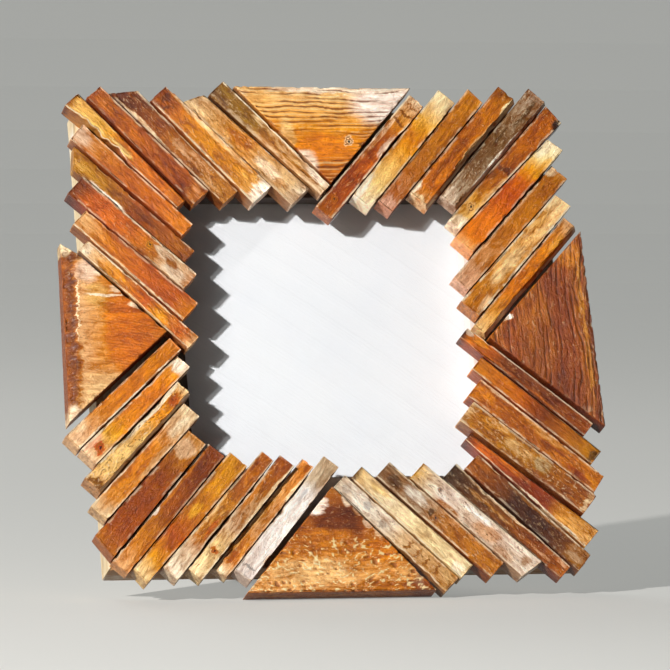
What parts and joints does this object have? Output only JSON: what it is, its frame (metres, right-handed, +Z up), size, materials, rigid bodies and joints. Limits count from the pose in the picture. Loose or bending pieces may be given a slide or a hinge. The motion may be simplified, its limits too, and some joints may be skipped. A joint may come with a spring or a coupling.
{
  "type": "tabletop picture frame",
  "caption": "Square easel-backed picture frame: glazed opening in a mitred base faced with a radial mosaic of reclaimed wood slats and triangles, with a hinged leg and turn buttons behind.",
  "frame": {"origin": "on the table, under the middle of the whole object's box as it stands with its leg open", "axes": "+Z up, -Y towards the viewer of the picture, +X to the viewer's right"},
  "size_m": [0.2124, 0.1104, 0.1972],
  "materials": {
    "amber_wood": "oiled and waxed reclaimed wood",
    "honey_wood": "oiled and waxed reclaimed wood",
    "rust_wood": "oiled and waxed reclaimed wood",
    "umber_wood": "oiled and waxed reclaimed wood",
    "tan_wood": "oiled and waxed reclaimed wood",
    "cream_wood": "oiled and waxed reclaimed wood",
    "chalk_wood": "reclaimed wood with worn white paint",
    "ash_wood": "weathered reclaimed wood",
    "pine": "plain planed softwood",
    "leg_wood": "stained plywood",
    "board": "pressed hardboard",
    "clear_glass": "clear polished glass",
    "white_card": "uncoated white card",
    "hinge_brass": "lacquered brass"
  },
  "bodies": {
    "frame": {"top_left_slat_1": "rust_wood", "top_left_slat_2": "amber_wood", "top_left_slat_3": "amber_wood", "top_left_slat_4": "umber_wood", "top_left_slat_5": "amber_wood", "top_left_slat_6": "honey_wood", "top_left_slat_7": "rust_wood", "top_left_slat_8": "umber_wood", "top_left_slat_9": "amber_wood", "top_left_slat_10": "tan_wood", "top_left_slat_11": "ash_wood", "top_right_slat_1": "rust_wood", "top_right_slat_2": "cream_wood", "top_right_slat_3": "tan_wood", "top_right_slat_4": "amber_wood", "top_right_slat_5": "ash_wood", "top_right_slat_6": "rust_wood", "top_right_slat_7": "cream_wood", "top_right_slat_8": "tan_wood", "top_right_slat_9": "honey_wood", "top_right_slat_10": "amber_wood", "bottom_right_slat_1": "rust_wood", "bottom_right_slat_2": "amber_wood", "bottom_right_slat_3": "amber_wood", "bottom_right_slat_4": "tan_wood", "bottom_right_slat_5": "rust_wood", "bottom_right_slat_6": "umber_wood", "bottom_right_slat_7": "ash_wood", "bottom_right_slat_8": "chalk_wood", "bottom_right_slat_9": "ash_wood", "bottom_right_slat_10": "cream_wood", "bottom_right_slat_11": "chalk_wood", "bottom_left_slat_1": "chalk_wood", "bottom_left_slat_2": "tan_wood", "bottom_left_slat_3": "tan_wood", "bottom_left_slat_4": "ash_wood", "bottom_left_slat_5": "amber_wood", "bottom_left_slat_6": "rust_wood", "bottom_left_slat_7": "umber_wood", "bottom_left_slat_8": "tan_wood", "bottom_left_slat_9": "cream_wood", "bottom_left_slat_10": "amber_wood", "bottom_left_slat_11": "honey_wood", "top_triangle": "honey_wood", "right_triangle": "umber_wood", "bottom_triangle": "rust_wood", "left_triangle": "amber_wood", "top_rail": "pine", "right_rail": "pine", "bottom_rail": "pine", "left_rail": "pine", "glass_pane": "clear_glass", "photo_card": "white_card", "back_board": "board", "hinge_plate": "hinge_brass", "turn_button_screws": "hinge_brass"},
    "leg": {"easel_leg": "leg_wood", "hinge_leaf": "hinge_brass"},
    "left_button": {"left_turn_button": "hinge_brass"},
    "right_button": {"right_turn_button": "hinge_brass"}
  },
  "joints": [
    {"name": "leg_hinge", "type": "hinge", "parent": "frame", "child": "leg", "pos_m": [0.00171, 0.0213, 0.12366], "axis": [1, 0, 0], "range_deg": [-34, 0]},
    {"name": "left_button_turn", "type": "hinge", "parent": "frame", "child": "left_button", "pos_m": [-0.06829, 0.00588, 0.09322], "axis": [0, 0.9272, -0.3746], "continuous": true},
    {"name": "right_button_turn", "type": "hinge", "parent": "frame", "child": "right_button", "pos_m": [0.07171, 0.00588, 0.09322], "axis": [0, 0.9272, -0.3746], "continuous": true}
  ]
}
